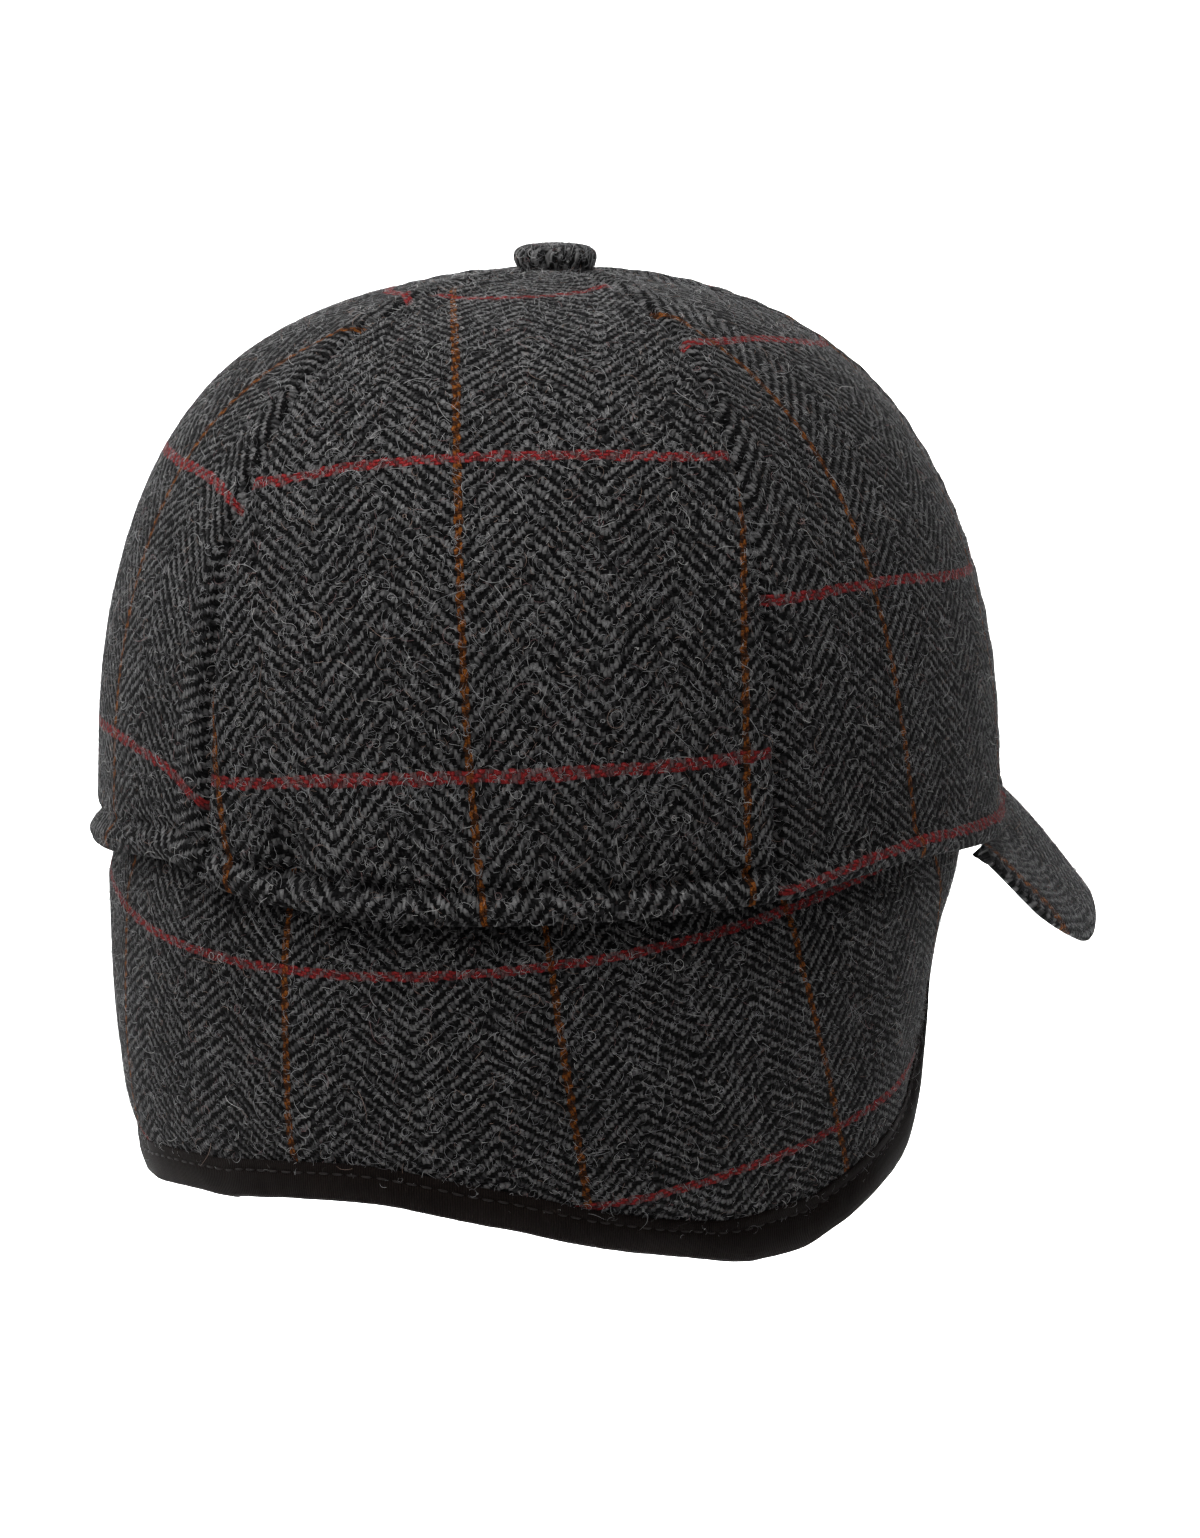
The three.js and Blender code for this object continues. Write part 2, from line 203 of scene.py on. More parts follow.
# ----------------------------------------------------------------- meshes --
def make(name, verts, quads, uv=None, tint=None, ngons=(), sharp=None, material=None):
    """A mesh object from arrays in mm. quads (f, 4); uv and tint per vertex."""
    me = bpy.data.meshes.new(name)
    verts = np.asarray(verts, np.float32) / 1000
    quads = np.asarray(quads, np.int32)
    loops = np.concatenate([quads.ravel()] + [np.asarray(n, np.int32) for n in ngons])
    starts = np.concatenate([np.arange(len(quads)) * 4,
                             len(quads) * 4 + np.cumsum([0] + [len(n) for n in ngons])[:-1]]).astype(np.int32)
    totals = np.concatenate([np.full(len(quads), 4), [len(n) for n in ngons]]).astype(np.int32)
    me.vertices.add(len(verts))
    me.vertices.foreach_set("co", verts.ravel())
    me.loops.add(len(loops))
    me.loops.foreach_set("vertex_index", loops)
    me.polygons.add(len(starts))
    me.polygons.foreach_set("loop_start", starts)
    me.polygons.foreach_set("loop_total", totals)
    me.polygons.foreach_set("use_smooth", np.ones(len(starts), bool))
    me.update(calc_edges=True)
    if uv is not None:
        layer = me.uv_layers.new(name="cloth")
        layer.data.foreach_set("uv", (np.asarray(uv, np.float32) / 1000)[loops].ravel())
    if tint is not None:
        layer = me.color_attributes.new(name="tint", type="FLOAT_COLOR", domain="POINT")
        rgba = np.ones((len(verts), 4), np.float32)
        rgba[:, :3] = tint
        layer.data.foreach_set("color", rgba.ravel())
    if sharp is not None and len(sharp):
        ev = np.zeros(len(me.edges) * 2, np.int32)
        me.edges.foreach_get("vertices", ev)
        ev = np.sort(ev.reshape(-1, 2), axis=1)
        key = ev[:, 0].astype(np.int64) * len(verts) + ev[:, 1]
        want = np.sort(np.asarray(sharp, np.int64).reshape(-1, 2), axis=1)
        attr = me.attributes.new("sharp_edge", "BOOLEAN", "EDGE")
        attr.data.foreach_set("value", np.isin(key, want[:, 0] * len(verts) + want[:, 1]))
    me.validate()
    ob = bpy.data.objects.new(name, me)
    bpy.context.scene.collection.objects.link(ob)
    if material:
        me.materials.append(material)
    return ob


def section_wall(name, rows, uv, half, material):
    """A wall from rows that go round its section: the outer face from the top
    down, round the lower edge, and up the inner face. rows (k, n, 3). half is
    the number of rows on each face."""
    k, n = rows.shape[:2]
    i, j = np.meshgrid(np.arange(n - 1), np.arange(k))
    a = j * n + i
    b = ((j + 1) % k) * n + i
    quads = np.stack([a, b, b + 1, a + 1], -1).reshape(-1, 4)
    ngons, sharp, caps = [], [], []
    for col in (0, n - 1):
        o = np.arange(half) * n + col
        q = (k - 1 - np.arange(half)) * n + col
        cap = np.stack([o[:-1], q[:-1], q[1:], o[1:]], -1)
        edge = np.arange(half - 1, k - half + 1) * n + col
        if col:
            cap, edge = cap[:, ::-1], edge[::-1]
        caps.append(cap)
        ngons.append(edge[::-1])
        ring = np.concatenate([o, np.arange(half, k - half) * n + col, q[::-1]])
        sharp.append(np.stack([ring[:-1], ring[1:]], -1))
    quads = np.concatenate([quads] + caps)
    return make(name, rows.reshape(-1, 3), quads, uv.reshape(-1, 2), None, ngons,
                np.concatenate(sharp), material)


def poly(terms, a, b):
    return sum(c * a ** i * b ** j for i, j, c in terms)


# -------------------------------------------------------------- materials --
class Tree:
    """Short names for making shader nodes."""

    def __init__(self, name):
        self.mat = bpy.data.materials.new(name)
        self.mat.use_nodes = True
        self.t = self.mat.node_tree
        self.t.nodes.clear()
        self.out = self.t.nodes.new("ShaderNodeOutputMaterial")
        self.bsdf = self.t.nodes.new("ShaderNodeBsdfPrincipled")
        self.t.links.new(self.bsdf.outputs[0], self.out.inputs[0])

    def put(self, socket, value):
        if hasattr(value, "is_output"):
            self.t.links.new(value, socket)
        elif value is not None:
            socket.default_value = value

    def node(self, kind, inputs=(), **props):
        n = self.t.nodes.new(kind)
        for key, value in props.items():
            setattr(n, key, value)
        for key, value in dict(inputs).items():
            self.put(n.inputs[key], value)
        return n

    def math(self, op, a, b=None, c=None, clamp=False):
        n = self.t.nodes.new("ShaderNodeMath")
        n.operation, n.use_clamp = op, clamp
        for s, v in zip(n.inputs, (a, b, c)):
            self.put(s, v)
        return n.outputs[0]

    def add(self, a, b): return self.math("ADD", a, b)
    def sub(self, a, b): return self.math("SUBTRACT", a, b)
    def mul(self, a, b): return self.math("MULTIPLY", a, b)
    def less(self, a, b): return self.math("LESS_THAN", a, b)
    def mod(self, a, b): return self.math("FLOORED_MODULO", a, b)

    def mix(self, f, a, b):
        """Numbers or colours."""
        colour = not (isinstance(a, (int, float)) and isinstance(b, (int, float)))
        colour = colour and any(isinstance(v, tuple) or (hasattr(v, "type") and v.type == "RGBA") for v in (a, b))
        n = self.t.nodes.new("ShaderNodeMix")
        n.data_type = "RGBA" if colour else "FLOAT"
        base = 6 if colour else 2
        self.put(n.inputs[0], f)
        self.put(n.inputs[base], (a + (1,)) if isinstance(a, tuple) and len(a) == 3 else a)
        self.put(n.inputs[base + 1], (b + (1,)) if isinstance(b, tuple) and len(b) == 3 else b)
        return n.outputs[2 if colour else 0]

    def ramp(self, x, lo, hi):
        return self.node("ShaderNodeMapRange", {"Value": x, "From Min": lo, "From Max": hi},
                         interpolation_type="SMOOTHSTEP").outputs[0]

    def noise(self, vector, scale, detail=2.0, rough=.5):
        return self.node("ShaderNodeTexNoise", {"Vector": vector, "Scale": scale, "Detail": detail,
                                                "Roughness": rough}).outputs[0]

    def scaled(self, colour, f):
        n = self.t.nodes.new("ShaderNodeVectorMath")
        n.operation = "SCALE"
        self.put(n.inputs[0], colour)
        self.put(n.inputs[3], f)
        return n.outputs[0]


def tweed(name, light=1.0, sheen=.045):
    """Herringbone wool: pale warp over a charcoal weft in a broken two-and-two
    twill, red picks and rust ends for the overcheck, and a nap over it all."""
    t = Tree(name)
    uv = t.node("ShaderNodeUVMap", uv_map="cloth").outputs[0]
    place = t.node("ShaderNodeTexCoord").outputs["Object"]
    xy = t.node("ShaderNodeSeparateXYZ", {0: uv}).outputs
    k = 1000 / PITCH
    wander = t.node("ShaderNodeTexNoise", {"Vector": uv, "Scale": 450.0, "Detail": 4.0}).outputs[1]
    wxy = t.node("ShaderNodeSeparateColor", {0: wander}).outputs
    U = t.add(t.mul(xy[0], k), t.mul(t.sub(wxy[0], .5), 2.6))
    V = t.add(t.mul(xy[1], k), t.mul(t.sub(wxy[1], .5), 2.6))
    i, j = t.math("FLOOR", U), t.math("FLOOR", V)
    fu, fv = t.math("FRACT", U), t.math("FRACT", V)
    ihalf = t.add(i, .5)
    turn = t.math("FLOOR", t.math("PINGPONG", ihalf, float(BAND)))
    down = t.less(float(BAND), t.mod(ihalf, 2.0 * BAND))
    ph = t.mod(t.sub(j, turn), 4.0)
    warp_up = t.less(ph, 1.5)
    # height of each float, across and along
    sv = t.mul(t.add(ph, fv), .5)
    fud = t.mix(down, t.sub(1.0, fu), fu)
    su = t.mul(t.add(t.sub(ph, 2.0), fud), .5)
    def hump(across, along):
        c = t.math("SINE", t.mul(across, pi))
        l = t.math("SINE", t.mul(along, pi))
        return t.mul(t.math("POWER", t.math("MAXIMUM", c, 0.001), .6),
                     t.add(.3, t.mul(.7, t.math("MAXIMUM", l, 0.0))))
    high = t.mix(warp_up, hump(fv, su), hump(fu, sv))
    # yarn colours
    cell = t.node("ShaderNodeCombineXYZ", {0: i, 1: t.math("FLOOR", t.mul(V, .5)), 2: 1.0}).outputs[0]
    each = t.node("ShaderNodeTexWhiteNoise", {"Vector": cell}, noise_dimensions="3D").outputs[0]
    fibre = t.noise(uv, 2600.0, 3.0, .65)
    streak = t.noise(uv, 700.0, 2.0, .6)
    cloud = t.noise(place, 55.0, 3.0, .55)
    pale = t.ramp(t.add(t.mul(each, .5), t.mul(streak, .7)), .25, .95)
    warp = t.mix(pale, (.018, .018, .019), (.205, .203, .203))
    weft = t.mix(t.ramp(streak, .35, .75), (.0024, .0024, .0026), (.0095, .0093, .0096))
    # overcheck
    rust = t.less(t.mod(t.add(i, .01), float(RUST_EVERY)), 1.5)
    red = t.less(t.mod(t.add(j, .01), float(RED_EVERY)), 2.5)
    rusty = t.mix(t.ramp(fibre, .3, .75), (.090, .026, .005), (.400, .125, .022))
    reddy = t.mix(t.ramp(fibre, .25, .75), (.110, .009, .010), (.470, .042, .044))
    warp = t.mix(rust, warp, rusty)
    warp = t.mix(t.mul(red, .30), warp, reddy)
    weft = t.mix(red, weft, reddy)
    weft = t.mix(t.mul(rust, .22), weft, rusty)
    yarn = t.mix(warp_up, weft, warp)
    shade = t.mul(t.add(.30, t.mul(.90, high)), t.add(.25, t.mul(1.5, fibre)))
    yarn = t.scaled(yarn, shade)
    # nap: fine hairs veiling the weave in grey, with a few warm and rosy flecks; the grey grows towards the crown's
    # top, which paints the top lighter as painted light
    nap = t.noise(uv, 1500.0, 4.0, .7)
    # painted light: the grey nap mix is stronger higher up the crown, so the top is painted lighter
    crest = t.node("ShaderNodeSeparateXYZ", {0: place}).outputs[2]
    nap_veil_and_top_light = t.mul(t.ramp(nap, .48, .80), t.add(.50, t.mul(.40, t.ramp(crest, .085, .120))))
    yarn = t.mix(nap_veil_and_top_light, yarn, (.062, .061, .062))
    fleck = t.mul(t.ramp(t.noise(uv, 610.0, 2.0), .66, .80), .35)
    yarn = t.mix(fleck, yarn, (.075, .042, .040))
    yarn = t.scaled(yarn, t.mul(t.add(.55, t.mul(.90, cloud)), light))
    t.put(t.bsdf.inputs["Base Color"], yarn)
    bump = t.node("ShaderNodeBump", {"Strength": .75, "Distance": .00035,
                                     "Height": t.add(t.mul(high, .8), t.mul(nap, .75))}).outputs[0]
    t.put(t.bsdf.inputs["Normal"], bump)
    t.bsdf.inputs["Roughness"].default_value = .95
    t.bsdf.inputs["Specular IOR Level"].default_value = .06
    t.bsdf.inputs["Sheen Weight"].default_value = sheen
    t.bsdf.inputs["Sheen Roughness"].default_value = .45
    t.bsdf.inputs["Sheen Tint"].default_value = (.75, .75, .78, 1)
    return t.mat


def tape_cloth(name):
    """Dark brown ribbed tape."""
    t = Tree(name)
    uv = t.node("ShaderNodeUVMap", uv_map="cloth").outputs[0]
    xy = t.node("ShaderNodeSeparateXYZ", {0: uv}).outputs
    wob = t.noise(uv, 900.0, 2.0)
    rib = t.math("SINE", t.add(t.mul(xy[0], 2 * pi * 1000 / .52), t.mul(wob, 3.0)))
    fine = t.math("SINE", t.add(t.mul(xy[1], 2 * pi * 1000 / .30), t.mul(wob, 4.0)))
    cloud = t.noise(uv, 120.0, 3.0)
    fibre = t.noise(uv, 3500.0, 3.0)
    tone = t.add(t.add(t.mul(rib, .20), t.mul(fine, .06)), t.add(t.mul(cloud, .5), t.mul(fibre, .6)))
    colour = t.mix(t.ramp(tone, .15, 1.0), (.0050, .0034, .0029), (.0190, .0126, .0108))
    t.put(t.bsdf.inputs["Base Color"], colour)
    bump = t.node("ShaderNodeBump", {"Strength": .7, "Distance": .00016,
                                     "Height": t.add(t.mul(rib, .5), t.add(t.mul(fine, .15), fibre))}).outputs[0]
    t.put(t.bsdf.inputs["Normal"], bump)
    t.bsdf.inputs["Roughness"].default_value = .68
    t.bsdf.inputs["Specular IOR Level"].default_value = .09
    return t.mat


def thread(name):
    t = Tree(name)
    place = t.node("ShaderNodeTexCoord").outputs["Object"]
    f = t.noise(place, 2500.0, 2.0)
    t.put(t.bsdf.inputs["Base Color"], t.mix(f, (.006, .004, .0035), (.020, .013, .011)))
    t.bsdf.inputs["Roughness"].default_value = .6
    return t.mat


def hair(name):
    """Loose wool fibres: each carries its own tint."""
    t = Tree(name)
    tint = t.node("ShaderNodeVertexColor", layer_name="tint").outputs[0]
    place = t.node("ShaderNodeTexCoord").outputs["Object"]
    f = t.noise(place, 1500.0, 2.0)
    t.put(t.bsdf.inputs["Base Color"], t.scaled(tint, t.add(.7, t.mul(.6, f))))
    t.bsdf.inputs["Roughness"].default_value = .7
    t.bsdf.inputs["Specular IOR Level"].default_value = .2
    return t.mat


TWEED = tweed("tweed")
# a copy of the same cloth with its colour painted 15% lighter, as painted light on the peak and the button; it also has
# more sheen
TWEED_PAINTED_LIGHTER = tweed("tweed_painted_lighter", 1.15, .12)
TAPE = tape_cloth("binding_tape")
THREAD = thread("binding_thread")
HAIR = hair("wool_fibre")
pieces = {}
skins = {}       # outer faces, for the fibres that stand on them


# ------------------------------------------------------------------ crown --
def crown_swell(b, up, p, aside):
    """Movement outwards at each point. aside is the distance to the nearest seam."""
    B = np.broadcast_to(b[None], up.shape)
    s = 1.7 * hill(up - 2.7, 2.4) - 1.8 * follow(CREASE, wrap(B)) * hill(up - 6.7, 1.15)
    for at, above, wide, tall, depth in DENTS:
        s = s - depth * hill(np.radians(wrap(B - at)) * HALF_LENGTH, wide) * hill(up - above, tall)
    s = s - 1.8 * hill(aside, 1.05) + .60 * hill(aside - 4.4, 2.8)
    s = s + .22 * np.sin(up * 2 * pi / 8.3 + 1.7 * np.sin(up / 11)) * hill(aside - 2.5, 3.0)
    s = s + .40 * noise(p, 34, 3) + .16 * noise(p, 12, 4) + .07 * noise(p, 3.1, 5)
    return s


def crown_panel(node, a, b, grain, seed):
    width = np.radians(b - a) * 95
    fine = np.array([0, .35, .75, 1.2, 1.7, 2.3, 3.0])
    cols = np.concatenate([fine, np.linspace(4, width - 4, int(width / 1.75)), width - fine[::-1]]) / width
    mid = (a + b) / 2
    top = profile(mid)[0][-1]
    ups = np.concatenate([np.arange(HEM_CLOTH / 2, 12, .62), np.linspace(12, top - TOP_RING, int((top - 12) / 1.65))])
    m = len(ups)
    bear = a + (b - a) * cols
    length = np.array([profile(x)[0][-1] for x in bear])
    share = np.where(ups < 12, 0, (ups - 12) / (top - TOP_RING - 12))
    up = np.where(ups[:, None] < 12, ups[:, None], 12 + share[:, None] * (length[None] - TOP_RING - 12))
    p = crown_form(bear, up)
    # lateral distance along each row
    seg = np.linalg.norm(np.diff(p, axis=1), axis=2)
    run = np.concatenate([np.zeros((m, 1)), np.cumsum(seg, 1)], 1)
    wide = run[:, -1:]
    w = run - np.array([np.interp(.5, cols, r) for r in run])[:, None]
    aside = np.minimum(run, wide - run)
    n = grid_normals(p)
    tangent = unit(np.gradient(p, axis=1))
    # panels meet face to face outside, and their turned edges lap a little inside
    inward = np.where(run < wide / 2, 1.0, -1.0) * np.clip(1 - aside / 2, 0, 1)
    swell = crown_swell(bear, up, p, np.maximum(aside, 0) * 1.0) * np.clip(wide / 22, .25, 1)
    outer = p + n * swell[..., None] + tangent * (inward * SEAM_GAP)[..., None]
    thick = CLOTH + (HEM_CLOTH - CLOTH) * (1 - smooth(13, 17, up))
    inner = p + n * (np.where(up < 12, swell, swell * .6) - thick)[..., None] - tangent * (inward * SEAM_LAP)[..., None]
    # rounded lower edge
    a5 = np.linspace(0, pi, 9)[1:-1]
    r = HEM_CLOTH / 2
    down = unit(p[0] - p[1])
    edge = [outer[0] - n[0] * (r * (1 - cos(x))) + down * (r * sin(x)) for x in a5]
    rows = np.concatenate([outer[::-1], np.array(edge), inner])
    gu, gv = grain
    U = poly(gu, w / 50, up / 100)
    V = poly(gv, w / 50, up / 100)
    uv = np.stack([U, V], -1)
    lower = np.array([np.stack([uv[0, :, 0], uv[0, :, 1] - r * x], -1) for x in a5])
    uvs = np.concatenate([uv[::-1], lower, np.stack([uv[..., 0], -uv[..., 1] + 2 * lower[-1][None, :, 1]], -1)])
    ob = section_wall(node + "_cloth", rows, uvs, m, TWEED)
    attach(ob, "root")
    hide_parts(node)
    pieces[node] = ob
    skins[node] = (outer, n)
    return ob


# Grain of each panel, from where its coloured lines lie: a term is the power of
# the distance aside from the middle (in 50 mm), the power of the height up the
# panel (in 100 mm), and millimetres of cloth.
GRAIN = {
    "back_panel_right": ([(0, 0, 54.5), (1, 0, 50.6), (0, 1, 12.4), (1, 1, -6.9), (0, 2, -10.1), (2, 0, -.5), (1, 2, 3.2), (0, 3, 6.4)],
                         [(0, 0, -22.8), (1, 0, -1.6), (0, 1, 76.7), (2, 0, .5), (3, 0, -.9), (1, 1, -.9), (2, 1, 8.8), (0, 2, 13.4), (3, 1, -2.2)]),
    "side_panel_right": ([(0, 0, 19.5), (1, 0, 50.5), (0, 1, 26.6), (0, 2, -25.9), (0, 3, 8.0)],
                         [(0, 0, -4.1), (1, 0, -1.3), (0, 1, 118.6), (2, 0, .8), (1, 1, 1.8), (2, 1, -5.3), (0, 2, -9.8)]),
    "back_panel_left": ([(0, 0, -23.5), (1, 0, 50.5), (0, 1, 1.9), (0, 2, -8.8), (0, 3, 1.4)],
                        [(0, 0, -24.6), (1, 0, -6.3), (0, 1, 100.6), (2, 0, 15.3), (3, 0, -2.2), (1, 1, 11.1), (2, 1, -7.9)]),
    "side_panel_left": ([(0, 0, -24.0), (1, 0, 52.0), (0, 1, -6.0)],
                        [(0, 0, -1.3), (0, 1, 104.0), (1, 0, -1.0), (2, 0, 1.0)]),
    "front_panel": ([(0, 0, 27.0), (1, 0, 51.0), (0, 1, 2.0)],
                    [(0, 0, -22.0), (0, 1, 103.0), (1, 0, 1.0), (2, 0, 2.5)]),
}
for seed, (node, a, b) in enumerate([
        ("back_panel_right", 0, SEAM_SIDE), ("side_panel_right", SEAM_SIDE, SEAM_FRONT),
        ("front_panel", SEAM_FRONT, 360 - SEAM_FRONT), ("side_panel_left", -SEAM_FRONT, -SEAM_SIDE),
        ("back_panel_left", -SEAM_SIDE, 0)]):
    crown_panel(node, a, b, GRAIN[node], seed)


# ------------------------------------------------------------------- flap --
def edge_roots(count):
    """Roots of columns that are even along the free edge."""
    r = np.linspace(-FLAP_END, FLAP_END, 1129)
    p = flap_point(r, np.zeros((1, len(r))))[0][0]
    run = np.concatenate([[0], np.cumsum(np.linalg.norm(np.diff(p, axis=0), axis=1))])
    return np.interp(np.linspace(0, run[-1], count), run, r), run[-1]


# Grain of the flap: powers of the arc round the cap (in 100 mm) and of the depth
# (in 50 mm).
FLAP_U = [(0, 0, -19.2), (1, 0, 106.9), (0, 1, 4.8), (1, 1, -13.4), (2, 0, -1.9), (2, 1, -1.7), (0, 2, -1.3)]
FLAP_RED = [(0, 0, 10.8), (1, 0, 7.5), (2, 0, -15.4), (3, 0, 3.3)]       # depth of the upper red line
FLAP_PICKS = 1.165                                                       # cloth to depth


def flap_grain(b, d):
    ref = np.linspace(-FLAP_END, FLAP_END, 1411)
    q = flap_form(ref, np.full_like(ref, 30.0))
    arc = np.concatenate([[0], np.cumsum(np.linalg.norm(np.diff(q, axis=0), axis=1))])
    arc = arc - np.interp(0, ref, arc)
    a = np.interp(b, ref, arc) / 100
    line = poly(FLAP_RED, np.clip(a, -.41, 1.3), 0) + 21.5 * np.minimum(a + .41, 0) - 18.0 * np.maximum(a - 1.3, 0)
    return np.stack([poly(FLAP_U, a, d / 50), -FLAP_PICKS * (d - line)], -1)


def flap_swell(p, b, up_from_edge, from_rim):
    s = .75 * noise(p, 38, 11) + .30 * noise(p, 15, 12) + .07 * noise(p, 3.1, 13)
    s = s - .55 * hill(up_from_edge - TAPE_LEG, 2.0) + .45 * hill(up_from_edge - 14, 6.0)
    s = s * smooth(-6, 4, from_rim)
    ear = smooth(62, 82, np.abs(b)) * (1 - smooth(112, 134, np.abs(b)))
    return s + 1.9 * ear * (1 - smooth(0, 12, up_from_edge))


FLAP_COLS, FLAP_ROWS = 250, 50
roots, edge_length = edge_roots(FLAP_COLS)
ends = flap_point(roots, np.stack([np.zeros(FLAP_COLS), np.ones(FLAP_COLS)]))[0]
col_len = np.linalg.norm(ends[1] - ends[0], axis=1)
share = np.linspace(0, 1, FLAP_ROWS)[:, None] ** 1.08 * np.ones((1, FLAP_COLS))
fp, fb, fd = flap_point(roots, share)
fn = grid_normals(fp)
rise_mm = share * col_len[None]
from_rim = fd + rim_lift(fb)
swell = flap_swell(fp, fb, rise_mm, from_rim)
thin = 1 - .35 * (1 - smooth(3, 9, rise_mm))
f_outer = fp + fn * swell[..., None]
f_inner = fp + fn * (swell - FLAP_CLOTH * thin)[..., None]
f_uv = flap_grain(fb, fd)
a5 = np.linspace(0, pi, 5)[1:-1]
r_edge = FLAP_CLOTH * thin[0] / 2
down = unit(fp[0] - fp[1])
f_edge = [f_outer[0] - fn[0] * (r_edge * (1 - cos(x)))[:, None] + down * (r_edge * sin(x) * .6)[:, None] for x in a5]
rows = np.concatenate([f_outer[::-1], np.array(f_edge), f_inner])
uvs = np.concatenate([f_uv[::-1], np.repeat(f_uv[:1], 3, 0), f_uv + np.array([[[7.0, 3.0]]])])
flap = section_wall("ear_flap_cloth", rows, uvs, FLAP_ROWS, TWEED)
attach(flap, "root"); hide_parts("ear_flap")
pieces["ear_flap"] = flap
skins["ear_flap"] = (f_outer[3:-6], fn[3:-6])

# ---------------------------------------------------------------- binding --
# Section of the tape: height above the edge, and stand-off from the flap's face.
BIND_COLS = 420
b_roots, _ = edge_roots(BIND_COLS)
b_ends = flap_point(b_roots, np.stack([np.zeros(BIND_COLS), np.ones(BIND_COLS)]))[0]
b_len = np.linalg.norm(b_ends[1] - b_ends[0], axis=1)
lip = np.array([[TAPE_LEG, .05], [TAPE_LEG - .12, .42], [TAPE_LEG - .6, .70], [5.6, .78], [5.0, .62], [4.75, .42],
                [4.5, .62], [3.9, .86], [2.9, .96], [1.9, 1.0], [.9, 1.0]])


def tape_rows(e, n_out, face):
    """A row of the tape at height e on a face (1 outside, -1 inside)."""
    ear = smooth(70, 84, np.abs(b_roots)) * (1 - smooth(112, 130, np.abs(b_roots)))
    sh = np.clip(e * (1 + .38 * ear) / b_len, 0, .55)[None]
    p, b, d = flap_point(b_roots, np.concatenate([sh, sh + .02]))
    q, _, _ = flap_point(b_roots + .4, sh)
    q0, _, _ = flap_point(b_roots - .4, sh)
    n = unit(np.cross(q[0] - q0[0], p[1] - p[0]))
    rise = sh * b_len[None]
    s = flap_swell(p[:1], b[:1], rise, d[:1] + rim_lift(b[:1]))[0]
    t = FLAP_CLOTH * (1 - .35 * (1 - smooth(3, 9, rise[0])))
    off = s + n_out if face > 0 else s - t - n_out
    return p[0] + n * off[:, None], n, unit(p[0] - p[1]), s, t


out_rows, uv_rows = [], []
for e, n_out in lip:
    out_rows.append(tape_rows(e, n_out, 1)[0])
base, bn, bdown_, bs, bt = tape_rows(0.0, 0.0, 1)
tang = unit(np.gradient(base, axis=0))
bdown = unit(np.cross(tang, bn))
for x in np.linspace(0, pi, 11)[1:-1]:
    R = bt / 2 + 1.0
    out_rows.append(base - bn * (bt / 2 - R * cos(x))[:, None] + bdown * (R * .95 * sin(x) - .2)[:, None])
for e, n_out in lip[::-1]:
    out_rows.append(tape_rows(e, n_out, -1)[0])
outer = np.array(out_rows)
wob = .10 * noise(outer, 6, 31) + .05 * noise(outer, 2.2, 32)
sec = np.gradient(outer, axis=0)
nb = unit(np.cross(sec, np.gradient(outer, axis=1)))
if (nb[5] * bn).sum() < 0:
    nb = -nb
outer = outer + nb * wob[..., None]
run = np.concatenate([[0], np.cumsum(np.linalg.norm(np.diff(outer[8], axis=0), axis=1))])
drop = np.concatenate([np.zeros((1, BIND_COLS)), np.cumsum(np.linalg.norm(np.diff(outer, axis=0), axis=2), 0)])
b_uv = np.stack([np.broadcast_to(run, drop.shape), drop], -1)
# the tape's own thickness, closed inside
k = len(outer)
inner = outer - nb * .45
rows = np.concatenate([outer, inner[::-1]])
uvs = np.concatenate([b_uv, b_uv[::-1]])
n_ = BIND_COLS
ii, jj = np.meshgrid(np.arange(n_ - 1), np.arange(2 * k))
a_ = jj * n_ + ii
b_ = ((jj + 1) % (2 * k)) * n_ + ii
quads = np.stack([a_, b_, b_ + 1, a_ + 1], -1).reshape(-1, 4)
capq = []
for col in (0, n_ - 1):
    o = np.arange(k) * n_ + col
    q = (2 * k - 1 - np.arange(k)) * n_ + col
    cap = np.stack([o[:-1], q[:-1], q[1:], o[1:]], -1)
    capq.append(cap[:, ::-1] if col else cap)
binding = make("flap_binding_tape", rows.reshape(-1, 3), np.concatenate([quads] + capq), uvs.reshape(-1, 2), material=TAPE)
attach(binding, "root"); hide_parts("flap_binding")
pieces["flap_binding"] = binding


